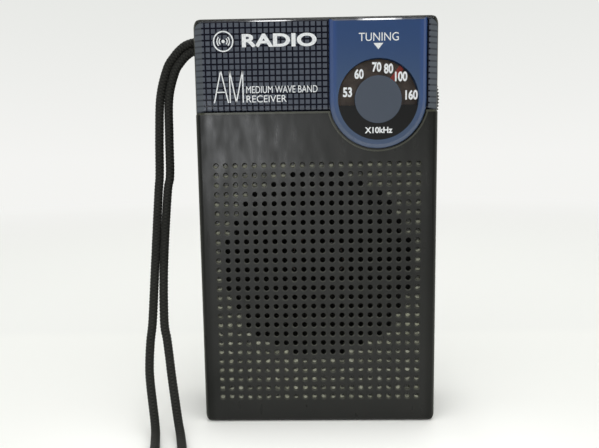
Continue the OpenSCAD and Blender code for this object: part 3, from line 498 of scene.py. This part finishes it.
def braided_cord():
    """Matt black nylon: each yarn of the braid has a painted highlight along its crown and painted shade,
    nearly black, where it dives under.
    """
    f = Finish("braided_cord")
    relief = f.add("Attribute", attribute_name="relief").outputs["Fac"]
    yarn = f.add("Attribute", attribute_name="yarn").outputs["Fac"]
    fibres = f.stripes(yarn, 0, 0.25, 0.1, 0.15)
    # painted highlight on the crowns and painted shade in the hollows where yarns dive under
    tone = f.mix(f.ramp(relief, 0.25, 0.98), (0.0015, 0.0015, 0.0013), (0.023, 0.0235, 0.019))
    tone = f.mix(f.both(fibres, f.ramp(relief, 0.3, 0.8, 0.0, 0.5)), tone, (0.01, 0.01, 0.0085))
    rough = f.ramp(f.noise(6, 2), 0.3, 0.7, 0.62, 0.75)
    fuzz = f.noise(0.18, 3, rough=0.7)
    return f.surface(tone, rough, f.bump(fuzz, 0.04), specular=0.22, sheen=0.05)


def print_white():
    """Screen-printed white ink, a little thin in places."""
    f = Finish("print_white")
    tone = f.mix(f.ramp(f.noise(0.5, 3), 0.3, 0.6), (0.66, 0.68, 0.71), (0.82, 0.84, 0.86))
    return f.surface(tone, 0.42, f.bump(f.noise(0.2, 2), 0.004))


def paint(material, *names):
    for name in names:
        piece = nodes[name]
        piece.data.materials.clear()
        piece.data.materials.append(material)


def paint_nodes():
    """Gives the CAD nodes their finishes, all but the wrist strap and its knot, which the cord replaces."""
    paint(case_plastic(), "front_cabinet", "back_cabinet", "battery_cover")
    paint(panel_print(), "front_panel")
    paint(window_plastic(), "tuning_window")
    paint(dial_print(), "dial_disc")
    paint(moulded("wheel_plastic", (0.011, 0.011, 0.011), (0.02, 0.02, 0.019), 0.33),
          "tuning_wheel", "volume_wheel")
    paint(metal("plated_steel", (0.50, 0.50, 0.47), (0.68, 0.68, 0.65), 0.3),
          "tuning_shaft", "tuning_wheel_screw", "volume_wheel_screw", "speaker_screws", "board_screws",
          "case_screws", "jack_contacts", "strap_pin")
    paint(metal("pressed_steel", (0.46, 0.46, 0.43), (0.62, 0.62, 0.58), 0.36, stretch=(5, 1, 1)),
          "speaker_top_plate", "speaker_yoke")
    paint(moulded("japanned_steel", (0.004, 0.004, 0.004), (0.008, 0.008, 0.008), 0.75), "speaker_frame")
    paint(paper("gasket_felt", (0.004, 0.004, 0.004), (0.009, 0.009, 0.008)), "speaker_gasket")
    paint(metal("brass_parts", (0.60, 0.40, 0.14), (0.80, 0.58, 0.25), 0.3),
          "trimmer_screws", "rotor_vanes", "stator_vanes", "if_cores")
    paint(moulded("capacitor_plastic", (0.60, 0.57, 0.47), (0.74, 0.71, 0.61), 0.38),
          "tuning_capacitor", "rod_holders")
    paint(moulded("pot_body", (0.10, 0.042, 0.018), (0.18, 0.08, 0.035), 0.4), "volume_control")
    paint(board_laminate(), "circuit_board")
    paint(moulded("ferrite", (0.016, 0.016, 0.018), (0.038, 0.038, 0.042), 0.6, size=1.5, depth=0.02),
          "ferrite_rod")
    paint(wound("coil_wire", (0.38, 0.17, 0.05), (0.58, 0.30, 0.10), 0, 0.42), "antenna_coil")
    paint(metal("can_metal", (0.60, 0.60, 0.58), (0.78, 0.78, 0.76), 0.28, stretch=(1, 6, 1)),
          "if_transformers")
    paint(moulded("black_epoxy", (0.010, 0.010, 0.010), (0.022, 0.022, 0.022), 0.42),
          "transistors", "earphone_jack")
    paint(wound("transformer_lamination", (0.16, 0.12, 0.06), (0.28, 0.22, 0.11), 1, 0.35, 0.5),
          "audio_transformers")
    paint(sleeve(), "electrolytic_capacitors")
    paint(moulded("ceramic_brown", (0.38, 0.14, 0.03), (0.55, 0.24, 0.06), 0.42, size=1.5),
          "ceramic_capacitors")
    paint(resistor_bands(), "resistors")
    paint(moulded("magnet_dark", (0.035, 0.035, 0.038), (0.065, 0.065, 0.07), 0.62, size=2, depth=0.02),
          "speaker_magnet")
    paint(paper("cone_paper", (0.03, 0.03, 0.026), (0.06, 0.058, 0.05)),
          "speaker_cone", "speaker_surround", "dust_cap")
    paint(wound("copper_coil", (0.14, 0.05, 0.02), (0.22, 0.09, 0.04), 1, 0.3, 0.25), "voice_coil")
    paint(moulded("lug_board", (0.24, 0.12, 0.04), (0.38, 0.21, 0.085), 0.5, size=1.5), "speaker_terminals")
    paint(cell_jacket(), "battery_cells")
    paint(metal("spring_steel", (0.66, 0.66, 0.63), (0.82, 0.82, 0.80), 0.2),
          "battery_springs", "battery_contacts", "battery_link")
    paint(moulded("red_insulation", (0.34, 0.012, 0.010), (0.50, 0.03, 0.02), 0.4), "battery_leads")
    paint(moulded("white_insulation", (0.56, 0.55, 0.50), (0.70, 0.69, 0.65), 0.42), "speaker_leads")
    paint(moulded("litz_silk", (0.42, 0.36, 0.20), (0.58, 0.52, 0.33), 0.7, size=0.8), "antenna_leads")
    paint(label_foil(), "rating_label")


# ------------------------------------------------------------------ cord

# In millimetres, apart from the two counts
CORD_R = (box_mm("strap_knot")[1].y - box_mm("strap_knot")[0].y) / 2 + 0.14   # over the yarns' crowns
CORD_STEP = 0.125                   # from one ring of points to the next
CORD_SIDES = 32
YARNS = 4                           # yarns in each direction round the cord
YARN_PERIOD = 0.93                  # distance along the cord from one yarn to the next
YARN_RELIEF = 0.17


def closed_curve(points, step):
    """A smooth closed curve through the points, as rows of places step millimetres apart."""
    points = np.array(points, float)
    before, after = np.roll(points, 1, 0), np.roll(points, -1, 0)
    beyond = np.roll(points, -2, 0)
    t = np.linspace(0, 1, 24, endpoint=False)[None, :, None]
    p0, p1, p2, p3 = (p[:, None, :] for p in (before, points, after, beyond))
    fine = 0.5 * (2 * p1 + (p2 - p0) * t + (2 * p0 - 5 * p1 + 4 * p2 - p3) * t**2
                  + (3 * p1 - p0 - 3 * p2 + p3) * t**3)
    fine = fine.reshape(-1, 3)
    lengths = np.linalg.norm(np.roll(fine, -1, 0) - fine, axis=1)
    total = lengths.sum()
    along = np.concatenate([[0], np.cumsum(lengths)])
    wrapped = np.vstack([fine, fine[:1]])
    count = int(round(total / step))
    places = np.arange(count) * total / count
    return np.column_stack([np.interp(places, along, wrapped[:, k]) for k in range(3)]), total


def carried_frames(path):
    """Two side directions at each place of a closed path, carried along untwisted, then made to meet."""
    heading = np.roll(path, -1, 0) - np.roll(path, 1, 0)
    heading /= np.linalg.norm(heading, axis=1)[:, None]
    side = np.cross(heading[0], [0.0, 1.0, 0.0])
    side /= np.linalg.norm(side)
    sides = []
    for t in heading:
        side = side - (side @ t) * t
        side = side / np.linalg.norm(side)
        sides.append(side)
    sides = np.array(sides)
    last = sides[-1] - (sides[-1] @ heading[0]) * heading[0]
    gap = math.atan2(np.cross(last, sides[0]) @ heading[0], last @ sides[0])
    turn = (np.arange(len(path)) / len(path) * gap)[:, None]
    others = np.cross(heading, sides)
    return sides * np.cos(turn) + others * np.sin(turn), others * np.cos(turn) - sides * np.sin(turn)


def cord_path():
    """Centre line of the cord: down one strand, round the free end, up the other and round the pin."""
    # middle of the two strands and the distance between them, from the pin's mouth downwards
    middle = [(0, 0, 0, 2.45), (-2.15, 0, -1.05, 2.4), (-4.35, 0, -3.25, 2.4), (-6.4, 0, -6.5, 2.45),
              (-8.45, 0, -14, 2.5), (-8.95, -0.3, -25, 2.85), (-9.05, -1.15, -36, 3.0),
              (-9.7, -1.6, -41.5, 2.6), (-10.75, -4.8, -62, 2.5), (-10.95, -7.8, -77.5, 3.3),
              (-10.75, -9, -83, 4.7), (-10.45, -10.2, -89, 5.8), (-9.85, -11.7, -94, 6.2),
              (-7.85, -15.4, -104.4, 6.4), (-6.35, -20, -107.25, 6.8), (-4.15, -29, -107.5, 7.2),
              (-2.35, -39, -107.5, 7.4)]
    places = np.array([STRAP_PIVOT + Vector(m[:3]) for m in middle])
    gaps = np.array([m[3] for m in middle])
    heading = np.gradient(places, axis=0)
    heading /= np.linalg.norm(heading, axis=1)[:, None]
    out = np.column_stack([-np.ones(len(places)), np.zeros(len(places)), places[:, 2] / STRAP_PIVOT.z])
    out -= (out * heading).sum(1)[:, None] * heading
    out /= np.linalg.norm(out, axis=1)[:, None]
    near = places + out * gaps[:, None] / 2
    far = places - out * gaps[:, None] / 2
    end = [places[-1] + gaps[-1] / 2 * (math.cos(a) * out[-1] + math.sin(a) * heading[-1])
           for a in np.radians((45, 90, 135))]
    pin_low, pin_high = box_mm("strap_pin")
    pin = (pin_low + pin_high) / 2
    turn_r = (pin_high.x - pin_low.x) / 2 + 0.1 + CORD_R
    mouth = Vector((CASE_LOW.x + 1.7, STRAP_PIVOT.y, STRAP_PIVOT.z))
    around = [(pin.x + turn_r * math.cos(a), STRAP_PIVOT.y, pin.z + turn_r * math.sin(a))
              for a in np.radians((-90, -45, 0, 45, 90))]
    inside = [tuple(mouth - Vector((0, 0, 1.75))), *around, tuple(mouth + Vector((0, 0, 1.75)))]
    return [*map(tuple, near), *map(tuple, end), *map(tuple, far[::-1]), *inside]


def braided_tube():
    """The cord as one closed tube whose surface is two families of yarns passing over and under."""
    path, length = closed_curve(cord_path(), CORD_STEP)
    first, second = carried_frames(path)
    rings = len(path)
    angle = np.arange(CORD_SIDES) / CORD_SIDES
    periods = round(length / YARN_PERIOD / 2) * 2
    run = (np.arange(rings) / rings * periods)[:, None]
    u, v = YARNS * angle[None, :] + run, YARNS * angle[None, :] - run
    over = (np.floor(u) + np.floor(v)) % 2 == 0
    across = np.where(over, u % 1, v % 1)
    along = np.where(over, v % 1, u % 1)
    relief = np.sqrt(np.clip(1 - (2 * across - 1) ** 2, 0, 1)) * (0.45 + 0.55 * np.sin(np.pi * along))
    radius = CORD_R - YARN_RELIEF * (1 - relief)
    turn = 2 * np.pi * angle
    cosine, sine = (wave(turn)[None, :, None] for wave in (np.cos, np.sin))
    spokes = cosine * first[:, None, :] + sine * second[:, None, :]
    points = path[:, None, :] + radius[:, :, None] * spokes
    index = np.arange(rings * CORD_SIDES).reshape(rings, CORD_SIDES)
    right, ahead = np.roll(index, -1, 1), np.roll(index, -1, 0)
    faces = np.stack([index, right, np.roll(right, -1, 0), ahead], -1).reshape(-1, 4)
    mesh = bpy.data.meshes.new("strap_cord")
    mesh.from_pydata((points.reshape(-1, 3) * MM).tolist(), [], faces.tolist())
    for name, values in (("relief", relief), ("yarn", across)):
        attribute = mesh.attributes.new(name, "FLOAT", "POINT")
        attribute.data.foreach_set("value", values.astype(np.float32).ravel())
    mesh.shade_smooth()
    return mesh


def make_strap():
    """The cord outside and inside the case. It bends where it leaves the mouth."""
    cord = add_piece("strap_cord", braided_tube(), braided_cord())
    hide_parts("wrist_strap", "strap_knot")
    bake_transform(cord)


# ------------------------------------------------------------------ printing


def add_piece(name, mesh, material):
    piece = bpy.data.objects.new(name, mesh)
    scene.collection.objects.link(piece)
    mesh.materials.clear()
    mesh.materials.append(material)
    return piece


def print_piece(name, mesh, ink):
    piece = add_piece(name, mesh, ink)
    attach(piece, "case")


def flat_prism(outlines, front):
    """A mesh of closed flat shapes. Each outline is a loop of (x, z) points, clockwise from the front."""
    mesh = bpy.data.meshes.new("print")
    points, faces = [], []
    for outline in outlines:
        first, count = len(points), len(outline)
        for y in (front, front + 2 * PRINT_T):
            points += [(x * MM, y * MM, z * MM) for x, z in outline]
        faces.append(list(range(first, first + count)))
        faces.append(list(range(first + 2 * count - 1, first + count - 1, -1)))
        for k in range(count):
            n = (k + 1) % count
            faces.append([first + n, first + k, first + count + k, first + count + n])
    mesh.from_pydata(points, [], faces)
    return mesh


def letters(name, text, left, right, low, high, face, ink, weight=0.0):
    """Printed letters that fill a rectangle exactly. weight thickens the strokes, in parts of the em."""
    curve = bpy.data.curves.new(name, "FONT")
    curve.body = text
    curve.offset = weight
    curve.extrude = PRINT_T
    curve.resolution_u = 5
    writing = bpy.data.objects.new(name, curve)
    scene.collection.objects.link(writing)
    bpy.context.view_layer.update()
    mesh = bpy.data.meshes.new_from_object(writing.evaluated_get(bpy.context.evaluated_depsgraph_get()))
    bpy.data.objects.remove(writing)
    flat = np.array([v.co for v in mesh.vertices])
    start, size = flat[:, :2].min(0), np.ptp(flat[:, :2], axis=0)
    x = left + (flat[:, 0] - start[0]) / size[0] * (right - left)
    z = low + (flat[:, 1] - start[1]) / size[1] * (high - low)
    y = face - flat[:, 2]
    mesh.vertices.foreach_set("co", (np.column_stack([x, y, z]) * MM).astype(np.float32).ravel())
    mesh.update()
    print_piece(name, mesh, ink)


def bar(a, b, width):
    """Outline of a straight stroke with level ends, as a printed letter's leg has."""
    half = width / 2
    rise = abs(b[1] - a[1])
    if rise == 0:
        return [(a[0], a[1] - half), (a[0], a[1] + half), (b[0], b[1] + half), (b[0], b[1] - half)]
    half *= math.hypot(b[0] - a[0], rise) / rise
    return [(a[0] - half, a[1]), (b[0] - half, b[1]), (b[0] + half, b[1]), (a[0] + half, a[1])]


def arc(centre, inner, outer, start, stop, steps=40):
    """Outline of part of a ring, clockwise from start to stop degrees from the top."""
    angles = np.radians(np.linspace(start, stop, steps))
    rim = [(centre[0] + outer * math.sin(a), centre[1] + outer * math.cos(a)) for a in angles]
    bore = [(centre[0] + inner * math.sin(a), centre[1] + inner * math.cos(a)) for a in angles[::-1]]
    return rim + bore


def print_panel(ink):
    """The emblem, the large word, and the band letters with two lines of small print beside them."""
    face, left, top = PANEL_LOW.y, PANEL_LOW.x + 0.25, PANEL_HIGH.z - 0.5
    # a plain emblem: a ring with waves spreading from a dot
    centre = (left + 7.8, top - 4.9)
    outlines = [arc(centre, 2.45, 2.8, 0, 180), arc(centre, 2.45, 2.8, 180, 360),
                arc(centre, 0.02, 0.45, 0, 359, 24)]
    for r in (0.95, 1.55):
        for middle in (90, 270):
            outlines.append(arc(centre, r, r + 0.3, middle - 42, middle + 42, 16))
    print_piece("print_emblem", flat_prism(outlines, face - PRINT_T), ink)
    letters("print_word", "RADIO", left + 12.9, left + 33.3, top - 6.6, top - 3.0, face, ink, BOLD)
    # tall thin letters for the band
    low, high, stroke = top - 21.4, top - 12.7, 0.32
    a_left, a_right, m_left, m_right = left + 4.9, left + 8.8, left + 9.3, left + 12.9
    a_top, m_foot = (a_left + a_right) / 2, (m_left + m_right) / 2 - 0.1
    rail = low + 2.9
    outlines = [bar((a_left, low), (a_top, high), stroke), bar((a_top, high), (a_right, low), stroke),
                bar((a_left + 0.75, rail), (a_right - 0.75, rail), 0.28),
                bar((m_left, low), (m_left, high), stroke), bar((m_left, high), (m_foot, low), stroke),
                bar((m_foot, low), (m_right, high), stroke), bar((m_right, high), (m_right, low), stroke)]
    print_piece("print_band", flat_prism(outlines, face - PRINT_T), ink)
    small = left + 13.8
    letters("print_line_1", "MEDIUM WAVE BAND", small, left + 33.4, low + 2.5, low + 4.4, face, ink)
    letters("print_line_2", "RECEIVER", small, left + 24.9, low, low + 1.9, face, ink)


def print_window(ink):
    """The title and its mark over the dial, the numbers round it, and the unit under its middle."""
    face, x, z = WINDOW_LOW.y, DIAL.x, DIAL.z
    letters("print_tuning", "TUNING", x - 5.3, x + 5.5, z + 15.5, z + 17.7, face, ink)
    mark = [(x - 1.35, z + 14.95), (x + 1.35, z + 14.95), (x, z + 13.3)]
    print_piece("print_mark", flat_prism([mark], face - PRINT_T), ink)
    letters("print_unit", "X10kHz", x - 3.7, x + 3.9, z - 9.2, z - 7.5, face, ink, 0.03)
    for text, turn, r in (("53", -76.7, 8.65), ("60", -37.6, NUMBER_R), ("70", -2.9, NUMBER_R),
                          ("80", 18.8, NUMBER_R), ("100", 46, NUMBER_R), ("160", 83.5, 9.1)):
        middle = x + r * math.sin(math.radians(turn))
        foot = z + r * math.cos(math.radians(turn)) - NUMBER_H / 2
        half = 1.25 if len(text) == 2 else 1.68
        letters("print_" + text, text, middle - half, middle + half, foot, foot + NUMBER_H, face, ink, BOLD)


# ------------------------------------------------------------------ stage, light and camera


HORIZON = (0.905, 0.905, 0.885)     # where the floor ends, and the room above it
SKY = (0.80, 0.81, 0.785)
FLOOR_HALF = 4.0                    # metres


def make_stage():
    """A wide pale floor, a shade darker behind the radio, that fades into the pale room far away."""
    mesh = bpy.data.meshes.new("floor")
    corners = [(x * FLOOR_HALF, y * FLOOR_HALF, 0) for x, y in ((-1, -1), (1, -1), (1, 1), (-1, 1))]
    mesh.from_pydata(corners, [], [(0, 1, 2, 3)])
    floor = bpy.data.objects.new("floor", mesh)
    scene.collection.objects.link(floor)
    f = Finish("floor_card")
    tone = f.mix(f.ramp(f.y, 66, 80), (0.92, 0.92, 0.90), (0.90, 0.90, 0.885))
    f.surface(tone, 0.8, specular=0.0)
    room = f.add("Emission")
    f.join(HORIZON, room.inputs[0])
    far = f.ramp(f.radius(f.x, f.y, 0, 0), 250, 900)
    f.join(f.mix_shaders(far, f.shader.outputs[0], room.outputs[0]), f.output.inputs["Surface"])
    mesh.materials.append(f.material)


def make_world():
    """Even pale light. Reflections see it dim in front of the radio, as a room behind the camera is."""
    world = bpy.data.worlds.new("studio")
    scene.world = world
    world.use_nodes = True
    w = Nodes(world.node_tree)
    _, back, up = w.axes(w.add("TexCoord").outputs["Generated"])
    even, mirrored = w.add("Background"), w.add("Background")
    w.join(w.mix(w.ramp(up, 0.0, 0.26, kind="LINEAR"), HORIZON, SKY), even.inputs["Color"])
    w.join((0.98, 1.0, 0.95), mirrored.inputs["Color"])
    w.join(w.ramp(back, -0.95, -0.1, 0.12, 0.75), mirrored.inputs["Strength"])
    in_mirror = w.add("LightPath").outputs["Is Glossy Ray"]
    light = w.mix_shaders(in_mirror, even.outputs[0], mirrored.outputs[0])
    w.join(light, w.add("OutputWorld").inputs["Surface"])


def add_lamp(name, place, aim, size, power, colour=(1, 1, 1)):
    """A rectangular soft lamp. Lengths here are metres, and power is in watts."""
    data = bpy.data.lights.new(name, "AREA")
    data.shape = "RECTANGLE"
    data.size, data.size_y = size
    data.energy = power
    data.color = colour
    lamp = bpy.data.objects.new(name, data)
    scene.collection.objects.link(lamp)
    lamp.location = place
    direction = Vector(aim) - Vector(place)
    lamp.rotation_euler = direction.to_track_quat("-Z", "Y").to_euler()
    return lamp


def make_lamps():
    """The lamps that show as reflections, and one that only lifts a shadow."""
    # twin ceiling tubes, front to back, whose reflections run along the top edges
    for name, x in (("tube_left", -0.065), ("tube_right", 0.107)):
        add_lamp(name, (x, 0.04, 0.9), (x, 0.04, 0), (0.067, 0.7), 1.0)
        glare = add_lamp(name + "_glare", (x, 0.04, 0.91), (x, 0.04, 0), (0.05, 0.7), 1.3)
        glare.visible_diffuse = False
    # low windows either side of the camera, only for the sheen over the upper part of the face
    face = (0, 0, 0.085)
    for name, place, size, power, colour in (
            ("window_left", (-0.19, -0.85, 0.115), (0.22, 0.06), 1.62, (0.95, 0.97, 1.0)),
            ("window_right", (0.08, -0.85, 0.05), (0.36, 0.06), 0.3, (0.98, 1.0, 0.97))):
        add_lamp(name, place, face, size, power, colour).visible_diffuse = False
    # a low fill that lifts the shadow in front of the radio's foot
    fill = add_lamp("floor_fill", (0, -0.06, 0.05), (0, -0.06, 0), (0.12, 0.03), 0.027)
    fill.visible_glossy = False
    fill.visible_camera = False


def make_camera():
    """A normal lens a little above the middle of the radio, looking slightly down."""
    data = bpy.data.cameras.new("camera")
    data.lens = 34.6
    data.sensor_width = 36
    data.clip_start = 0.005
    camera = bpy.data.objects.new("camera", data)
    scene.collection.objects.link(camera)
    camera.location = Vector((-1.4, -175.4, 77.8)) * MM
    camera.rotation_euler = [math.radians(turn) for turn in (83.285, 0.825, 1.209)]
    scene.camera = camera


scene.view_settings.view_transform = "Standard"
paint_nodes()
make_strap()
ink = print_white()
print_panel(ink)
print_window(ink)
make_stage()
make_world()
make_lamps()
make_camera()
